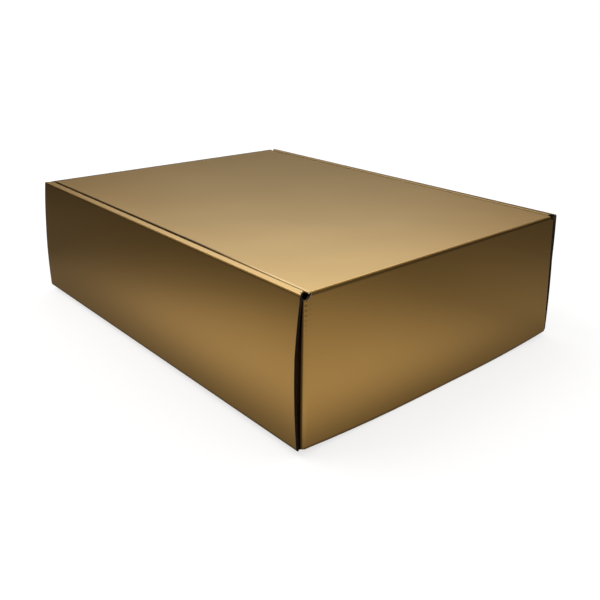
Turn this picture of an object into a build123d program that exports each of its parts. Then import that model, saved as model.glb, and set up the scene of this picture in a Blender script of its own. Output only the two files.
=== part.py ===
from build123d import *
import math
import os

# A shipping and gift box for three wine bottles laid side by side, folded from one die-cut sheet
# of thin corrugated board. X runs across the box, Y runs to the hinge at the back, Z runs up.
# The tray is the base, a front and a back wall with an ear at each end, and two rolled side walls:
# an outer panel, a flat strip on top and an inner panel, with the ears held in the roll.
# The lid hangs on the crease along the top of the back wall. It has two side flaps and a tuck flap.

# Outside of the closed box, measured over its folds
length = 334.0
width = 253.0
height = 96.5

# The sheet, and how tightly it folds
board = 1.8
layer_gap = 0.5
sharp_fold = 1.2
base_fold = 2.4
inside_fold = 0.6
corner_fold = 3.0

# The base sags a little, so the box stands on a flat strip and its side folds hang clear of the floor
foot_width = 60.0
side_lift = 3.6

# The outer panels of the side walls spring outwards half way up
side_bow = 2.2

# Ends of the rolled walls
panel_setback = 0.3
panel_slant = 1.7
panel_slant_run = 34.0
strip_slant = 4.9
end_zone = 6.0

# Ears of the front and back walls
ear_length = 72.0
ear_corner = 14.0
ear_foot = 1.0

# Locking tabs under the inner panels
tab_length = 40.0
tab_clearance = 0.25
tab_end_gap = 0.5
tab_recess = 0.4

# The relief cut at each end of the hinge crease
relief_reach = 5.6
relief_depth = 3.8
relief_round = 3.3

# The lid and its flaps
seam_at_hinge = 0.35
seam_at_front = 1.6
hinge_gap = 0.05
lid_corner = 2.2
front_gap = 0.3
front_edge_drop = 0.4
tuck_depth = 45.0
tuck_corner = 12.0
tuck_end_gap = 4.0
tuck_ease = 0.3
side_flap_depth = 40.0
side_flap_setback = 8.0
side_flap_taper = 10.0
flap_split = 4.0

# Worked out from the sizes above
half_length = length / 2
half_width = width / 2
roll = 3 * board + 2 * layer_gap
roll_face = half_width - roll
ear_face = half_width - board - layer_gap
ear_bend_x = ear_face - corner_fold
ear_bend_y = half_length - corner_fold
joint_x = half_width - 2 * base_fold
joint_y = half_length - end_zone
sag_run = half_width - foot_width / 2
sag_radius = (sag_run**2 + side_lift**2) / (2 * side_lift)
front_of_lid = -half_length + board + front_gap
lid_half_at_hinge = roll_face - seam_at_hinge
lid_half_at_front = roll_face - seam_at_front
beyond = length + width


def base_height(x, lift):
    """Height of the sagging sheet at x: of its underside with lift 0, and of its top with lift board."""
    out = max(abs(x) - foot_width / 2, 0)
    return sag_radius - math.sqrt((sag_radius - lift) ** 2 - out**2)


def block(x, y, z):
    """A plain block between three pairs of limits."""
    size = Box(x[1] - x[0], y[1] - y[0], z[1] - z[0])
    return Pos(sum(x) / 2, sum(y) / 2, sum(z) / 2) * size


def polygon(points):
    """A flat face with these corners."""
    return make_face(Polyline(points, close=True))


def along_y(face, start, end):
    """A section drawn in X and Z, run from start to end along Y."""
    return extrude(Plane.XZ.offset(-end) * face, amount=end - start)


def along_x(face, start, end):
    """A section drawn in Y and Z, run from start to end along X."""
    return extrude(Plane.YZ.offset(start) * face, amount=end - start)


def on_both_sides(part):
    """A part and its mirror image across the box."""
    return part + mirror(part, about=Plane.YZ)


def at_both_ends(part):
    """A part and its mirror image at the other end of the box."""
    return part + mirror(part, about=Plane.XZ)


def corners_near(face, x, z, reach):
    """The corners of a section near x, to either side, at about height z."""
    return [v for v in face.vertices() if abs(abs(v.X) - x) < reach and abs(v.Y - z) < reach]


def sagging_edges(lift, half):
    """The base's line between x of -half and half, on the underside or lift above it: a flat and two arcs."""
    radius = sag_radius - lift
    turn = math.degrees(math.asin((half - foot_width / 2) / radius))
    return [
        CenterArc((-foot_width / 2, sag_radius), radius, -90 - turn, turn),
        Line((-foot_width / 2, lift), (foot_width / 2, lift)),
        CenterArc((foot_width / 2, sag_radius), radius, -90, turn),
    ]


def straight_section(lift, half, top):
    """The space over the base's line, with upright sides."""
    foot = base_height(half, lift)
    sides = Polyline((half, foot), (half, top), (-half, top), (-half, foot))
    return make_face(sagging_edges(lift, half) + [sides])


def bowed_section(lift, half, top):
    """The space over the base's line, with sides that bow outwards."""
    foot = base_height(half, lift)
    middle = (side_lift + height) / 2
    sides = [
        ThreePointArc((half, foot), (half + side_bow, middle), (half, top)),
        Line((half, top), (-half, top)),
        ThreePointArc((-half, top), (-half - side_bow, middle), (-half, foot)),
    ]
    return make_face(sagging_edges(lift, half) + sides)


def outer_sheet_section():
    """The base, the outer panels and the top strips as one bent sheet, cut across the box."""
    outside = bowed_section(0, half_width, height)
    outside = fillet(corners_near(outside, half_width, side_lift, board), base_fold)
    outside = fillet(corners_near(outside, half_width, height, board), sharp_fold)
    inside = bowed_section(board, half_width - board, height - board)
    foot = base_height(half_width - board, board)
    inside = fillet(corners_near(inside, half_width - board, foot, board), inside_fold)
    mouth = Pos(0, height) * Rectangle(2 * roll_face, 4 * board)
    sheet = outside - inside - mouth
    return fillet(corners_near(sheet, roll_face, height, board / 2), sharp_fold)


def inner_panel_section():
    """An inner panel, which hangs from the strip and stands on the base."""
    foot = base_height(roll_face + board, board) + layer_gap
    panel = Rectangle(board, height - board - foot)
    return Pos(roll_face + board / 2, (foot + height - board) / 2) * panel


def rolled_sheet():
    """The base and both rolled side walls, with room left at each end for the end walls."""
    sheet = outer_sheet_section()
    inner = inner_panel_section()
    middle = along_y(sheet + inner + mirror(inner, about=Plane.YZ), -joint_y, joint_y)
    base_between = Rectangle(2 * joint_x, height)
    end = along_y(sheet - base_between, joint_y, half_length - panel_setback)
    end -= on_both_sides(base_corner() + panel_end())
    rolled = middle + at_both_ends(end)
    rolled -= at_both_ends(on_both_sides(strip_end()))
    return rolled - tab_slots() + tabs()


def base_corner():
    """What is cut from a corner of the base, under the bend between an end wall and its ear."""
    top = side_lift + board + ear_foot
    return block((ear_bend_x, half_width - board), (ear_bend_y, half_length), (-board, top))


def panel_end():
    """What is cut from the end of an outer panel: its edge slants back below the strip, then runs down."""
    top = height - board
    end = half_length - panel_setback
    outline = polygon([
        (end, top),
        (end - panel_slant, top - panel_slant_run),
        (end - panel_slant, -board),
        (half_length + board, -board),
        (half_length + board, top),
    ])
    return along_x(outline, half_width - board - side_bow, half_width + 2 * side_bow)


def strip_end():
    """What is cut from the end of a top strip: a slant from the outer corner to the inner one."""
    outline = polygon([
        (half_width + board, half_length - panel_setback),
        (half_width, half_length - panel_setback),
        (roll_face, half_length - strip_slant),
        (roll_face - board, half_length - strip_slant),
        (roll_face - board, half_length + board),
        (half_width + board, half_length + board),
    ])
    return extrude(Pos(0, 0, height - board) * outline, amount=2 * board)


def tab_places():
    """Both tabs of each rolled wall, a quarter of the box's length from its middle."""
    return [Pos(side * (roll_face + board / 2), end * length / 4) for side in (-1, 1) for end in (-1, 1)]


def tab_slots():
    """The slots in the base that the locking tabs drop into."""
    top = base_height(roll_face + board, board) + layer_gap
    slot = Box(board + 2 * tab_clearance, tab_length + 2 * tab_end_gap, top + board)
    return [place * Pos(0, 0, (top - board) / 2) * slot for place in tab_places()]


def tabs():
    """The locking tabs, cut in one with the inner panels."""
    foot = base_height(roll_face, 0) + tab_recess
    top = base_height(roll_face, board) + board
    tab = Box(board, tab_length, top - foot)
    return [place * Pos(0, 0, (foot + top) / 2) * tab for place in tab_places()]


def outer_edges(part, low, high):
    """The edges of a part's outermost end face whose middles lie between two heights."""
    edges = part.faces().sort_by(Axis.Y)[-1].edges()
    return [edge for edge in edges if low <= edge.center().Z <= high]


def end_wall(top_round):
    """The wall at the back with the end of the base, folded up. top_round rounds its top edge."""
    outside = along_y(straight_section(0, joint_x, height), joint_y, half_length)
    outside = fillet(outer_edges(outside, 0, side_lift), base_fold)
    if top_round:
        outside = fillet(outer_edges(outside, height - board, height), sharp_fold)
    inside = along_y(straight_section(board, joint_x, 2 * height), joint_y - board, half_length - board)
    wall = outside - fillet(outer_edges(inside, 0, side_lift + board), inside_fold)
    corner = block((ear_bend_x, half_width), (ear_bend_y, half_length + board), (-board, 2 * height))
    return wall - on_both_sides(corner)


def ear(top):
    """The bend at the end of an end wall, up to height top, and the ear that lies inside the roll."""
    centre = (ear_bend_x, ear_bend_y)
    inner = corner_fold - board
    bend = make_face([
        CenterArc(centre, corner_fold, 0, 90),
        CenterArc(centre, inner, 0, 90),
        Line((centre[0] + inner, centre[1]), (centre[0] + corner_fold, centre[1])),
        Line((centre[0], centre[1] + inner), (centre[0], centre[1] + corner_fold)),
    ])
    bend_foot = side_lift + ear_foot
    bend = extrude(Pos(0, 0, bend_foot) * bend, amount=top - bend_foot)
    ear_top = height - board - layer_gap
    foot = side_lift + board + layer_gap
    leaf = Pos(ear_bend_y - ear_length / 2, (foot + ear_top) / 2) * Rectangle(ear_length, ear_top - foot)
    leaf = chamfer(leaf.vertices().group_by(Axis.X)[0], ear_corner)
    leaf = along_x(leaf, ear_face - board, ear_face)
    return bend + leaf


def relief():
    """The rounded bite out of the back wall at the end of the hinge crease."""
    start = ear_face - relief_reach
    outline = Pos((start + half_width) / 2, height) * Rectangle(half_width - start, 2 * relief_depth)
    outline = fillet(outline.vertices().group_by(Axis.Y)[0].sort_by(Axis.X)[0], relief_round)
    return along_y(outline, ear_bend_y - board, half_length + board)


def mitre(depth):
    """The space on the lid's side of the crease's mitre plane, depth away from it."""
    reach = 3 * board
    shift = depth * math.sqrt(2)
    outline = polygon([
        (half_length + board, height + board + shift),
        (half_length - reach, height - reach + shift),
        (half_length - reach, height + reach),
    ])
    return along_x(outline, -beyond, beyond)


def tray():
    """The folded tray."""
    back = end_wall(True) - mitre(0) + on_both_sides(ear(height - relief_depth))
    back -= on_both_sides(relief())
    front_top = block((-half_width, half_width), (joint_y, half_length + board),
                      (height - front_edge_drop, height + board))
    front = end_wall(False) - front_top + on_both_sides(ear(height - board - layer_gap))
    return rolled_sheet() + back + mirror(front, about=Plane.XZ)


def tuck_lean():
    """How far the tip of the tuck flap leans in, so that it swings up clear of the front wall."""
    reach = half_length - front_of_lid
    return reach - math.sqrt(reach**2 - tuck_depth**2) + tuck_ease


def lid_space(inset, top, bottom):
    """The space inside the lid's outer skin, or inset from it: tapered in plan, with a leaning front."""
    slope = tuck_lean() / tuck_depth
    front = front_of_lid + inset
    drop = height - bottom
    profile = polygon([
        (half_length - inset, top),
        (front + slope * (height - top), top),
        (front + slope * drop, bottom),
        (half_length - inset, bottom),
    ])
    plan = polygon([
        (lid_half_at_hinge - inset, half_length),
        (-lid_half_at_hinge + inset, half_length),
        (-lid_half_at_front + inset, -half_length),
        (lid_half_at_front - inset, -half_length),
    ])
    if inset == 0:
        plan = fillet(plan.vertices().group_by(Axis.Y)[-1], lid_corner)
    plan = extrude(Pos(0, 0, bottom) * plan, amount=top - bottom)
    return along_x(profile, -half_width, half_width) & plan


def lid():
    """The lid with its flaps folded down."""
    floor = height - tuck_depth
    skin = lid_space(0, height, floor)
    skin = fillet(skin.edges().group_by(Axis.Z)[-1], sharp_fold)
    skin -= lid_space(board, height - board, floor - board)
    under = height - board
    behind = half_length - side_flap_setback
    skin -= block((-half_width, half_width), (behind, half_length + board), (floor - board, under))
    skin &= mitre(hinge_gap) + block((-half_width, half_width), (-half_length, half_length - 2 * board),
                                     (floor - board, height + board))
    return skin - on_both_sides(side_flap_trim()) - on_both_sides(tuck_trim())


def side_flap_trim():
    """What is cut away below and at the ends of a side flap."""
    tip = height - side_flap_depth
    root = height - 2 * board
    split = front_of_lid + 2 * board + flap_split
    behind = half_length - side_flap_setback
    outline = polygon([
        (split, root),
        (split + side_flap_taper, tip),
        (behind - side_flap_taper, tip),
        (behind, root),
        (half_length, root),
        (half_length, height - 2 * tuck_depth),
        (split, height - 2 * tuck_depth),
    ])
    return along_x(outline, roll_face - 3 * board, half_width)


def tuck_trim():
    """What is cut away beside the tuck flap and off its corner."""
    end = lid_half_at_front - tuck_end_gap
    tip = height - tuck_depth
    root = height - 2 * board
    flap = Pos(0, (tip + root) / 2) * Rectangle(2 * end, root - tip)
    flap = fillet(flap.vertices().group_by(Axis.Y)[0], tuck_corner)
    beside = Pos(half_width / 2, (root + tip) / 2) * Rectangle(half_width, root - tip) - flap
    return along_y(beside, -half_length, front_of_lid + 2 * board + flap_split)


nodes = {"tray": tray(), "lid": lid()}
os.makedirs("parts", exist_ok=True)
for name, shape in nodes.items():
    export_step(shape, f"parts/{name}.step")
    print(name, round(shape.volume), "mm3", len(shape.solids()), "solid")
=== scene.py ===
"""A gold folded-board box for wine bottles laid side by side: its printed board, its folds and its studio."""

import math

import bpy
from mathutils import Matrix, Vector
from mathutils.bvhtree import BVHTree


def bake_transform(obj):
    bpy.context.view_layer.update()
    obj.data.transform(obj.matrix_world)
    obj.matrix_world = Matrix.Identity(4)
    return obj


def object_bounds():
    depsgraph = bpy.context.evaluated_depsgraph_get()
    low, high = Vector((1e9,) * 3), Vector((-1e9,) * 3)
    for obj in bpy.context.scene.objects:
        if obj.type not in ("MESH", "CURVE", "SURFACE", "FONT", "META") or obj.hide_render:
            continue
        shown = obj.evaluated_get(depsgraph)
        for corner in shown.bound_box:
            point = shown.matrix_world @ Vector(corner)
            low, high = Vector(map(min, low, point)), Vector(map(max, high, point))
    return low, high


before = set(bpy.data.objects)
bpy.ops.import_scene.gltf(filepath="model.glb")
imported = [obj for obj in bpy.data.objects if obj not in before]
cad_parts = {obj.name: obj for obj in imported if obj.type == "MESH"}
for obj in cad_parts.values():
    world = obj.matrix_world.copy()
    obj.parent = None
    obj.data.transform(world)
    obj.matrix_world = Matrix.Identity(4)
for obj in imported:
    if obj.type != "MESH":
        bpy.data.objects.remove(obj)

cad_low, cad_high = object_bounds()
MM = 0.001


# The folded tray
#
# One sheet of thin E-flute board, printed metallic gold on the outside and left brown inside. The base, the
# two end walls with their ears and the two rolled side walls are creased and folded up from it without glue.
# The print follows the sheet round every fold, so it also shows on the inner faces of the rolled walls.

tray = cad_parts["tray"]
board = 1.8 * MM
flute_pitch = 2.9 * MM
liner_share = 0.15
crease_x = 122.3 * MM
crease_width = 3.0 * MM
strip_inner = 120.1 * MM
strip_slope = 0.05
foot_half = 30 * MM
side_lift = 3.6 * MM
fold_radius = 1.2 * MM
lid_round = 1.6 * MM
corner_gap = 4 * MM


class Shade:
    """One output of a material's nodes, so that the maths on it reads like arithmetic."""

    def __init__(self, output):
        self.output = output

    def node(self, kind, settings=None, sockets=None, output=0):
        """A new node of the same material: its settings first, then the values or links of its sockets."""
        tree = self.output.id_data
        made = tree.nodes.new(kind)
        for name, value in (settings or {}).items():
            setattr(made, name, value)
        for name, value in (sockets or {}).items():
            if isinstance(value, Shade):
                tree.links.new(value.output, made.inputs[name])
            else:
                made.inputs[name].default_value = value
        return Shade(made.outputs[output])

    def math(self, operation, *values):
        """A Math node, with this as its first value."""
        return self.node("ShaderNodeMath", {"operation": operation}, dict(enumerate((self, *values))))

    def __add__(self, other):
        return self.math("ADD", other)

    def __sub__(self, other):
        return self.math("SUBTRACT", other)

    def __rsub__(self, other):
        return self * -1 + other

    def __mul__(self, other):
        return self.math("MULTIPLY", other)

    def __truediv__(self, other):
        return self.math("DIVIDE", other)

    def __pow__(self, other):
        return self.math("POWER", other)

    def __abs__(self):
        return self.math("ABSOLUTE")

    __radd__ = __add__
    __rmul__ = __mul__


def new_material(name):
    """An empty material, its Principled shader, and the object's own coordinates as a first Shade."""
    material = bpy.data.materials.new(name)
    material.use_nodes = True
    tree = material.node_tree
    shader = tree.nodes["Principled BSDF"]
    place = Shade(tree.nodes.new("ShaderNodeTexCoord").outputs["Object"])
    return material, shader, place


def feed(shader, socket, shade):
    """Links a Shade to one of a shader's sockets."""
    shader.id_data.links.new(shade.output, shader.inputs[socket])


def axis(vector, name):
    """One component of a vector."""
    return vector.node("ShaderNodeSeparateXYZ", {}, {"Vector": vector}, name)


def stored(place, name):
    """A number kept with the mesh's vertices."""
    return place.node("ShaderNodeAttribute", {"attribute_name": name}, {}, "Fac")


def ease(value, low, high):
    """0 up to low, 1 from high on, and a smooth rise between them."""
    settings = {"interpolation_type": "SMOOTHSTEP"}
    return value.node("ShaderNodeMapRange", settings, {"Value": value, "From Min": low, "From Max": high})


def line(value, middle, half_width):
    """1 at the middle and 0 from half_width away."""
    return 1 - ease(abs(value - middle), 0, half_width)


def blotches(place, size, detail=2.0, roughness=0.5):
    """Noise from 0 to 1, with blotches of about this size."""
    sockets = {"Vector": place, "Scale": 1 / size, "Detail": detail, "Roughness": roughness}
    return place.node("ShaderNodeTexNoise", {}, sockets)


def stretched(place, x, y, z):
    """The coordinates with each axis stretched, so that noise on them shows as fibres."""
    sockets = {0: place, 1: (1 / x, 1 / y, 1 / z)}
    return place.node("ShaderNodeVectorMath", {"operation": "MULTIPLY"}, sockets)


def mixed(share, first, second):
    """A mix of two colours."""
    return share.node("ShaderNodeMix", {"data_type": "RGBA"}, {0: share, 6: first, 7: second}, 2)


def raised(height):
    """The normal of a surface with this relief, in metres."""
    return height.node("ShaderNodeBump", {}, {"Strength": 1.0, "Distance": 1.0, "Height": height})


def waves(place):
    """1 on the flutes' crests and 0 between them."""
    return 0.5 + 0.5 * (stored(place, "flute_run") * (2 * math.pi / flute_pitch)).math("COSINE")


def gold_print():
    """Satin metallic gold ink on a smooth white liner, with the flutes just telegraphing through it."""
    material, shader, place = new_material("gold_print")
    normal = Shade(place.output.node.outputs["Normal"])
    x = abs(axis(place, "X"))
    y = axis(place, "Y")
    z = axis(place, "Z")
    on_end_wall = ease(abs(y), cad_high.y - board / 2, cad_high.y - board / 4)
    at_top = ease(z, cad_high.z - board, cad_high.z - board / 2)

    # The ink drifts a little in tone, glints with fine flake, and is rubbed off in flecks along the folds,
    # which also paints a paler highlight onto the folds
    tone_size = 70 * MM
    flake_size = 0.4 * MM
    grain_size = 2.5 * MM
    fleck_size = 1.6 * MM
    satin = 0.272
    ink_dark = (0.68, 0.395, 0.125, 1)
    ink_light = (0.72, 0.425, 0.137, 1)
    flake_dark = (0.64, 0.365, 0.112, 1)
    flake_light = (0.77, 0.465, 0.16, 1)
    bare_paper_and_highlight = (0.90, 0.80, 0.64, 1)
    squareness = abs(axis(normal, "X"))
    squareness = squareness.math("MAXIMUM", abs(axis(normal, "Y")))
    squareness = squareness.math("MAXIMUM", abs(axis(normal, "Z")))
    fold = 1 - ease(squareness, 0.75, 0.98)
    tone = blotches(place, tone_size)
    flake = blotches(place, flake_size, 3.0)
    grain = blotches(place, grain_size, 3.0)
    wear_and_highlight = fold * ease(blotches(place, fleck_size, 4.0, 0.7), 0.5, 0.8)
    ink = mixed(tone, ink_dark, ink_light)
    glint = mixed(ease(flake, 0.3, 0.75), flake_dark, flake_light)
    gold = mixed(0.05 + grain * 0.05, ink, glint)
    gold = mixed(wear_and_highlight * 0.4, gold, bare_paper_and_highlight)
    feed(shader, "Roughness", satin + tone * 0.01 + grain * 0.005 + wear_and_highlight * 0.05)

    # The seam between strip and lid is painted pale beside the hinge as a highlight, and painted dark as
    # shade further along and on the other side
    pale_until = 10 * MM
    dark_from = 120 * MM
    seam_core = 0.6 * MM
    seam_reach = 2.1 * MM
    painted_seam_highlight = (0.93, 0.74, 0.45, 1)
    other_side = ease(axis(place, "X") * -1, 0, 1 * MM)
    along = ease(cad_high.y - y, pale_until, dark_from).math("MAXIMUM", other_side)
    seam_x = strip_inner - (0.2 + 0.6 * along) * MM
    seam = (1 - ease(abs(x - seam_x), seam_core, seam_reach)) * at_top
    gold = mixed(seam * (1 - along) * 0.3, gold, painted_seam_highlight)

    # Little light reaches the seam, the end walls' top folds, the corner gaps, the foot and the dents
    fold_line = 1.7 * MM
    fold_line_half = 1.1 * MM
    foot_dark = 1.2 * MM
    foot_lit = 3.4 * MM
    dent_half = 1.7 * MM
    side_dent_half = 1.1 * MM
    unlit_gold = (0.05, 0.022, 0.004, 1)
    under_fold = line(z, cad_high.z - fold_line, fold_line_half) * on_end_wall
    gap_shade = ease(x, crease_x + 0.6 * MM, crease_x + 1.4 * MM)
    gap_shade = gap_shade * (1 - ease(x, crease_x + board, crease_x + 1.1 * board))
    gap_shade = gap_shade * ease(abs(y), cad_high.y - corner_gap, cad_high.y - 0.75 * corner_gap)
    bowed = (x - foot_half).math("MAXIMUM", 0) / (cad_high.x - foot_half)
    off_underside = ease(axis(normal, "Z"), -0.9, -0.5)
    foot = off_underside * (1 - ease(z - bowed * bowed * side_lift, foot_dark, foot_lit))
    near_top = 0.1 + 0.9 * ease(z, 0.7 * cad_high.z, 0.97 * cad_high.z)
    creased = line(x, crease_x, dent_half) + 0.4 * line(x, crease_x - crease_width, side_dent_half)
    dents = creased * on_end_wall * near_top * waves(place) ** 2.0
    unlit = (seam * along * 0.9).math("MAXIMUM", under_fold * 0.6).math("MAXIMUM", gap_shade * 0.9)
    unlit = unlit.math("MAXIMUM", foot * 0.65).math("MAXIMUM", dents * 0.5)
    feed(shader, "Base Color", mixed(unlit, gold, unlit_gold))

    # The relief: flutes, dents, the strip's slope, a slow warp, and the lid's edge levelled off at the seam
    flute_height = 0.004 * MM
    dent_depth = 0.045 * MM
    warp_size = 60 * MM
    warp_height = 0.14 * MM
    sloped = (x - strip_inner).math("MAXIMUM", 0) * strip_slope
    relief = waves(place) * flute_height - dents * dent_depth - sloped
    relief = relief + blotches(place, warp_size, 1.0) * warp_height
    past_round = (x - (strip_inner - lid_round)).math("MAXIMUM", 0).math("MINIMUM", lid_round)
    lid_side = strip_inner - 0.1 * MM
    on_lid = at_top * x.math("LESS_THAN", lid_side)
    relief = relief + past_round * past_round * (1 - 0.45 * along) * on_lid / (2 * fold_radius)
    feed(shader, "Normal", raised(relief))
    shader.inputs["Metallic"].default_value = 1.0
    return material


def brown_liner():
    """Plain brown kraft paper, the sheet's unprinted side, with the flutes showing as a faint washboard."""
    material, shader, place = new_material("brown_liner")
    fibre_size = 1.2 * MM
    fleck_size = 0.8 * MM
    cloud_size = 45 * MM
    fibre_height = 0.02 * MM
    washboard_height = 0.02 * MM
    fibre_dark = (0.235, 0.135, 0.068, 1)
    fibre_light = (0.40, 0.255, 0.145, 1)
    cloud_brown = (0.28, 0.165, 0.085, 1)
    fleck_brown = (0.13, 0.07, 0.035, 1)
    corner_shade_brown = (0.02, 0.011, 0.006, 1)
    fibres = blotches(stretched(place, 3.0, 0.5, 0.5), fibre_size, 5.0, 0.65)
    fleck = ease(blotches(stretched(place, 2.0, 0.7, 0.7), fleck_size, 3.0), 0.66, 0.74)
    cloud = blotches(place, cloud_size, 3.0)
    paper = mixed(fibres, fibre_dark, fibre_light)
    paper = mixed(cloud * 0.3, paper, cloud_brown)
    paper = mixed(fleck * 0.5, paper, fleck_brown)
    # Painted shade: the paper turns almost black in the corner gaps
    corner_shade = ease(abs(axis(place, "X")), crease_x - 1 * MM, crease_x + 0.5 * MM)
    corner_shade = corner_shade * ease(abs(axis(place, "Y")), cad_high.y - 2 * corner_gap, cad_high.y - corner_gap)
    feed(shader, "Base Color", mixed(corner_shade * 0.85, paper, corner_shade_brown))
    feed(shader, "Roughness", 0.78 + fibres * 0.14)
    feed(shader, "Normal", raised(waves(place) * washboard_height + fibres * fibre_height))
    shader.inputs["Specular IOR Level"].default_value = 0.3
    return material


def cut_edge():
    """The sheet's cut edge: white-backed and brown liners and the wavy medium, in painted shade, hollows
    darkest.
    """
    material, shader, place = new_material("cut_edge")
    fuzz_size = 0.35 * MM
    wave_share = 0.66
    medium_half = 0.16
    # Painted shade: these colours are far darker than the white and kraft papers they stand for
    hollow_shade = (0.004, 0.003, 0.002, 1)
    shaded_medium = (0.05, 0.03, 0.016, 1)
    shaded_inner_liner = (0.06, 0.036, 0.019, 1)
    shaded_outer_liner = (0.32, 0.25, 0.17, 1)
    corner_shade_brown = (0.01, 0.006, 0.003, 1)
    depth = stored(place, "board_depth")
    medium = line(depth, 0.5 + (waves(place) - 0.5) * wave_share, medium_half)
    fuzz = blotches(place, fuzz_size, 3.0)
    paper = mixed(medium * (0.55 + 0.45 * fuzz), hollow_shade, shaded_medium)
    paper = mixed(ease(depth, 1 - liner_share, 1 - liner_share * 0.8), paper, shaded_inner_liner)
    paper = mixed(1 - ease(depth, liner_share * 0.8, liner_share), paper, shaded_outer_liner)
    # Painted shade: the cut edges turn almost black in the corner gaps
    gap_shade = ease(abs(axis(place, "Y")), cad_high.y - corner_gap, cad_high.y - 0.75 * corner_gap)
    gap_shade = gap_shade * ease(abs(axis(place, "X")), crease_x, crease_x + 0.5 * MM)
    feed(shader, "Base Color", mixed(gap_shade * 0.8, paper, corner_shade_brown))
    feed(shader, "Roughness", 0.85 + fuzz * 0.1)
    shader.inputs["Specular IOR Level"].default_value = 0.1
    return material


def sheet_faces(mesh):
    """The mesh's faces in groups, each of them one smooth face of the sheet, with no vertex shared."""
    group = list(range(len(mesh.vertices)))

    def root(k):
        while group[k] != k:
            group[k] = group[group[k]]
            k = group[k]
        return k

    for face in mesh.polygons:
        first = root(face.vertices[0])
        for k in face.vertices[1:]:
            group[root(k)] = first
    found = {}
    for face in mesh.polygons:
        found.setdefault(root(face.vertices[0]), []).append(face)
    return found.values()


def printed_side(faces, corners, start, facing):
    """The faces that can be reached from the one at start without turning a sharp corner."""
    sharp = math.cos(math.radians(40))
    beside = {}
    for face in faces:
        for a, b in face.edge_keys:
            beside.setdefault(frozenset((corners[a], corners[b])), []).append(face.index)
    seeds = [face for face in faces if face.normal.dot(facing) > 0.99]
    first = min(seeds, key=lambda face: (face.center - start).length)
    printed = {first.index}
    waiting = [first.index]
    while waiting:
        face = faces[waiting.pop()]
        for a, b in face.edge_keys:
            for other in beside[frozenset((corners[a], corners[b]))]:
                if other not in printed and faces[other].normal.dot(face.normal) > sharp:
                    printed.add(other)
                    waiting.append(other)
    return printed


def store_flute_run(mesh):
    """Keeps with each vertex how far along the sheet it lies, counted across the flutes."""
    run = mesh.attributes.new("flute_run", "FLOAT", "POINT")
    for group in sheet_faces(mesh):
        facing = sum((face.normal * face.area for face in group), Vector()).normalized()
        spots = {k for face in group for k in face.vertices}
        out = [abs(mesh.vertices[k].co.x) for k in spots]
        in_ear = min(out) > crease_x - board and max(out) < crease_x + 1.2 * board
        upright = abs(facing.y) > 0.6 or in_ear
        for k in spots:
            run.data[k].value = mesh.vertices[k].co.z if upright else mesh.vertices[k].co.y


def share_faces(node, start, facing, finishes):
    """Gives the sheet's printed side, its other side and its cut edges a finish each.

    The other side is what lies one board's thickness behind the print, and the mitre at the hinge crease.
    What is left over is cut edge. Each vertex also keeps how deep in the board it lies.
    """
    snap = 0.01 * MM
    level = 0.01
    mesh = node.data
    faces = mesh.polygons
    mesh.materials.clear()
    for finish in finishes:
        mesh.materials.append(finish)
    corners = [tuple(round(c / snap) for c in v.co) for v in mesh.vertices]
    printed = printed_side(faces, corners, start, facing)
    tree = BVHTree.FromPolygons([v.co for v in mesh.vertices], [face.vertices for face in faces])
    for face in faces:
        if face.index in printed:
            face.material_index = 0
            continue
        hit = tree.ray_cast(face.center - face.normal * snap, -face.normal, 1.2 * board)
        behind_print = hit[2] in printed and abs(hit[3] - board) < 0.3 * board
        on_mitre = abs(face.normal.x) < level and abs(abs(face.normal.y) - abs(face.normal.z)) < level
        face.material_index = 1 if behind_print or on_mitre else 2
    on_print = {corners[k] for face in faces if face.material_index == 0 for k in face.vertices}
    depth = mesh.attributes.new("board_depth", "FLOAT", "POINT")
    for k in range(len(mesh.vertices)):
        depth.data[k].value = 0 if corners[k] in on_print else 1
    store_flute_run(mesh)


finishes = [gold_print(), brown_liner(), cut_edge()]
share_faces(tray, Vector((0, 0, 0)), Vector((0, 0, -1)), finishes)


# The lid
#
# The same sheet, carried on over the crease at the top of the back wall. Its side flaps drop inside the
# rolled walls, and its front flap tucks in behind the front wall.

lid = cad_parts["lid"]
share_faces(lid, Vector((0, 0, cad_high.z)), Vector((0, 0, 1)), finishes)


# The skin of the hinge crease
#
# The sheet's printed liner, which carries on unbroken from the back wall to the lid and is all the hinge
# there is. It lies just under the fold's surface while the lid is shut, and spans the fold as the lid opens.

skin_depth = 0.08 * MM
skin_board = 0.25 * MM
skin_lap = 0.7 * MM
skin_half = 118.4 * MM
fold_y = cad_high.y - fold_radius
fold_z = cad_high.z - fold_radius
fold_steps = 8
fold_turns = [k * math.pi / 2 / fold_steps for k in range(fold_steps + 1)]
skin_path = [(1, 0, -skin_lap)]
skin_path += [(math.cos(turn), math.sin(turn), 0) for turn in fold_turns]
skin_path += [(0, 1, skin_lap)]
skin_points = []
for sink in (skin_depth, skin_depth + skin_board):
    for out_y, out_z, past in skin_path:
        y = fold_y + out_y * (fold_radius - sink) - max(past, 0)
        z = fold_z + out_z * (fold_radius - sink) + min(past, 0)
        skin_points += [(-skin_half, y, z), (skin_half, y, z)]
stations = len(skin_path)
skin_faces = []
for k in range(stations - 1):
    outer = 2 * k
    inner = 2 * (k + stations)
    skin_faces.append((outer, outer + 2, outer + 3, outer + 1))
    skin_faces.append((inner, inner + 1, inner + 3, inner + 2))
    skin_faces.append((outer, inner, inner + 2, outer + 2))
    skin_faces.append((outer + 1, outer + 3, inner + 3, inner + 1))
skin_mesh = bpy.data.meshes.new("crease_skin")
skin_mesh.from_pydata(skin_points, [], skin_faces)
for k, face in enumerate(skin_mesh.polygons):
    face.use_smooth = k % 4 < 2
    face.material_index = 0 if k % 4 == 0 else 1
for finish in finishes[:2]:
    skin_mesh.materials.append(finish)
skin_mesh.update()
crease_skin = bpy.data.objects.new("crease_skin", skin_mesh)
bpy.context.scene.collection.objects.link(crease_skin)
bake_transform(crease_skin)


# The studio floor
#
# A wide floor of pale paper, which looks white itself but throws little light back at the box. On it shows
# only the soft shade that the box casts.

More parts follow.
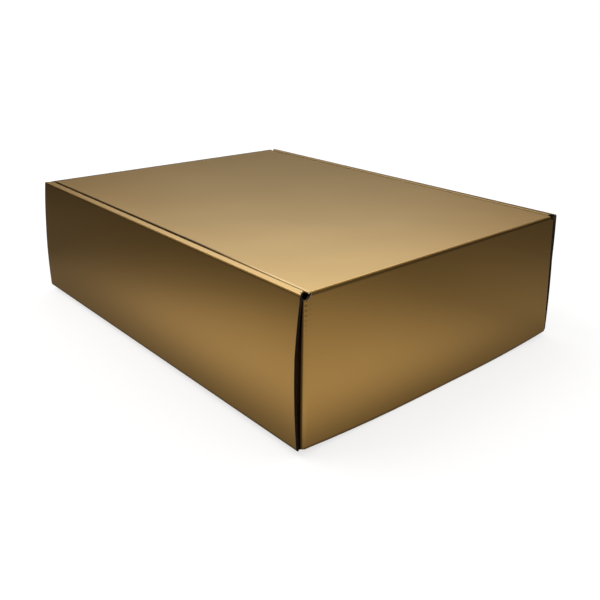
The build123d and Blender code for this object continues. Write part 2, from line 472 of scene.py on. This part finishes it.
floor_half = 30
black = (0, 0, 0, 1)
white = (1, 1, 1, 1)
floor_corners = [(x * floor_half, y * floor_half, 0) for x, y in ((-1, -1), (1, -1), (1, 1), (-1, 1))]
floor_mesh = bpy.data.meshes.new("floor")
floor_mesh.from_pydata(floor_corners, [], [(0, 1, 2, 3)])
floor = bpy.data.objects.new("floor", floor_mesh)
bpy.context.scene.collection.objects.link(floor)

paper, shader, place = new_material("floor_paper")
rays = place.node("ShaderNodeLightPath").output.node.outputs
shown = Shade(rays["Is Camera Ray"]) + Shade(rays["Is Glossy Ray"]) + Shade(rays["Is Transmission Ray"])
grain_size = 300 * MM
grey_dark = (0.34, 0.34, 0.34, 1)
grey_light = (0.36, 0.36, 0.36, 1)
feed(shader, "Base Color", mixed(blotches(place, grain_size), grey_dark, grey_light))
feed(shader, "Emission Color", mixed(shown.math("MINIMUM", 1), black, white))
shader.inputs["Emission Strength"].default_value = 0.67
shader.inputs["Roughness"].default_value = 0.9
shader.inputs["Specular IOR Level"].default_value = 0
floor_mesh.materials.append(paper)


# What the gloss reflects
#
# Graded cards that glow and that only reflections see, so they paint what the gold reflects. One lies on the
# floor, with a painted shadow darkest against the box and painted pools of light off its corners. One is a
# dome, dark low down, bright above that and dim on top.

room_radius = 3.0
card_height = 0.3 * MM
card_hole = 50 * MM
steps_round = 96
dome_step = 3
dome_top = 87


def card(name, rings, glow):
    """A ring-shaped card through circles of (radius, height), glowing as the function glow says."""
    points = []
    for radius, height in rings:
        for k in range(steps_round):
            turn = 2 * math.pi * k / steps_round
            points.append((radius * math.cos(turn), radius * math.sin(turn), height))
    quads = []
    for ring in range(len(rings) - 1):
        low = ring * steps_round
        for k in range(steps_round):
            after = (k + 1) % steps_round
            quads.append((low + k, low + after, low + steps_round + after, low + steps_round + k))
    mesh = bpy.data.meshes.new(name)
    mesh.from_pydata(points, [], quads)
    made = bpy.data.objects.new(name, mesh)
    bpy.context.scene.collection.objects.link(made)
    made.visible_camera = False
    made.visible_diffuse = False
    made.visible_transmission = False
    made.visible_shadow = False
    material, shader, place = new_material(name)
    feed(shader, "Emission Color", glow(place))
    shader.inputs["Emission Strength"].default_value = 1
    shader.inputs["Base Color"].default_value = black
    shader.inputs["Specular IOR Level"].default_value = 0
    mesh.materials.append(material)


def pool(place, x, y, full, gone):
    """A round pool on the floor, even up to one distance from its middle and gone at the other."""
    sockets = {0: place, 1: (x, y, 0)}
    distance = place.node("ShaderNodeVectorMath", {"operation": "DISTANCE"}, sockets, "Value")
    return 1 - ease(distance, full, gone)


def low_glow(place):
    """Rises away from the box's sides into pools of light off its corners, and falls away beyond them."""
    pool_light = (0.54, 0.525, 0.47, 1)
    out_x = (abs(axis(place, "X")) - cad_high.x).math("MAXIMUM", 0)
    out_y = (abs(axis(place, "Y")) - cad_high.y).math("MAXIMUM", 0)
    away = (out_x * out_x + out_y * out_y).math("SQRT")
    near_pool = pool(place, cad_high.x + 5 * MM, cad_high.y - 5 * MM, 90 * MM, 370 * MM)
    side_pool = pool(place, cad_low.x - 50 * MM, cad_high.y + 30 * MM, 40 * MM, 200 * MM)
    far_pool = pool(place, cad_low.x, cad_low.y, 70 * MM, 250 * MM)
    long_pool = pool(place, cad_high.x + 130 * MM, -110 * MM, 30 * MM, 200 * MM)
    pools = near_pool.math("MAXIMUM", far_pool).math("MAXIMUM", side_pool * 0.25)
    rise = ease(away, -9 * MM, 57 * MM)
    fall = 1 - ease(away, 170 * MM, 450 * MM)
    base = 0.28 - 0.1 * ease(away, 20 * MM, 120 * MM) - 0.08 * ease(away, 200 * MM, 700 * MM)
    return mixed(base + (0.75 * pools + 0.13 * long_pool) * rise * fall, black, pool_light)


def climb(sine, low, high):
    """0 up to one angle above the floor and 1 from the other on, both in degrees."""
    return ease(sine, math.sin(math.radians(low)), math.sin(math.radians(high)))


def dome_glow(place):
    """Dark up to a low angle, then bright and dim again overhead, and warmer and dimmer to the sides."""
    middle_light = (1.42, 1.58, 1.68, 1)
    side_light = (1.38, 1.37, 1.27, 1)
    aslant = (0.755, -0.656, 0)
    sine = axis(place, "Z") / room_radius
    across = place.node("ShaderNodeVectorMath", {"operation": "DOT_PRODUCT"}, {0: place, 1: aslant}, "Value")
    aside = abs(across) / room_radius
    warmth = ease(aside, 0.1, 0.42)
    above = climb(sine, 22, 27)
    bright = climb(sine, 19.2, 23.8) * (1 - 0.23 * warmth)
    bright = bright * (1 + above * 0.42 - 1.2 * above * ease(aside, 0.28, 0.48))
    bright = bright * (1 - climb(sine, 50, 65) * 0.8)
    return mixed(bright, black, mixed(warmth, middle_light, side_light))


card("low_card", [(card_hole, card_height), (room_radius, card_height)], low_glow)
angles = [math.radians(degrees) for degrees in range(0, dome_top + 1, dome_step)]
card("dome", [(room_radius * math.cos(a), room_radius * math.sin(a)) for a in angles], dome_glow)


# The light
#
# Even white light from all round, as in a light tent, and one large soft lamp that gives the floor shadow a
# side.

world = bpy.data.worlds.new("studio")
bpy.context.scene.world = world
world.use_nodes = True
background = world.node_tree.nodes["Background"]
background.inputs["Color"].default_value = white
background.inputs["Strength"].default_value = 1.0
world.cycles.sampling_method = "NONE"
bpy.context.scene.view_settings.view_transform = "Standard"
lamp_data = bpy.data.lights.new("soft_lamp", "AREA")
lamp_data.shape = "DISK"
lamp_data.size = 1.6
lamp_data.energy = 16
lamp = bpy.data.objects.new("soft_lamp", lamp_data)
bpy.context.scene.collection.objects.link(lamp)
lamp.location = (1.21, -1.05, 1.92)
lamp.rotation_euler = lamp.location.to_track_quat("Z", "Y").to_euler()
lamp.visible_glossy = False


# The camera
#
# It looks down at the back corner of the box, from the place that fits the photographed edges.

image_width = 600
focal_length = 746.9
camera_place = (0.370969, 0.446024, 0.244840)
camera_data = bpy.data.cameras.new("camera")
camera = bpy.data.objects.new("camera", camera_data)
bpy.context.scene.collection.objects.link(camera)
right = Vector((-0.75547, 0.65509, 0.01125))
up = Vector((-0.12658, -0.16277, 0.97851))
back = right.cross(up).normalized()
up = back.cross(right).normalized()
camera.matrix_world = Matrix((
    (right.x, up.x, back.x, camera_place[0]),
    (right.y, up.y, back.y, camera_place[1]),
    (right.z, up.z, back.z, camera_place[2]),
    (0, 0, 0, 1),
))
camera_data.sensor_width = 36
camera_data.lens = focal_length / image_width * camera_data.sensor_width
camera_data.shift_y = -0.225
camera_data.clip_start = 0.01
camera_data.clip_end = 100
bpy.context.scene.camera = camera
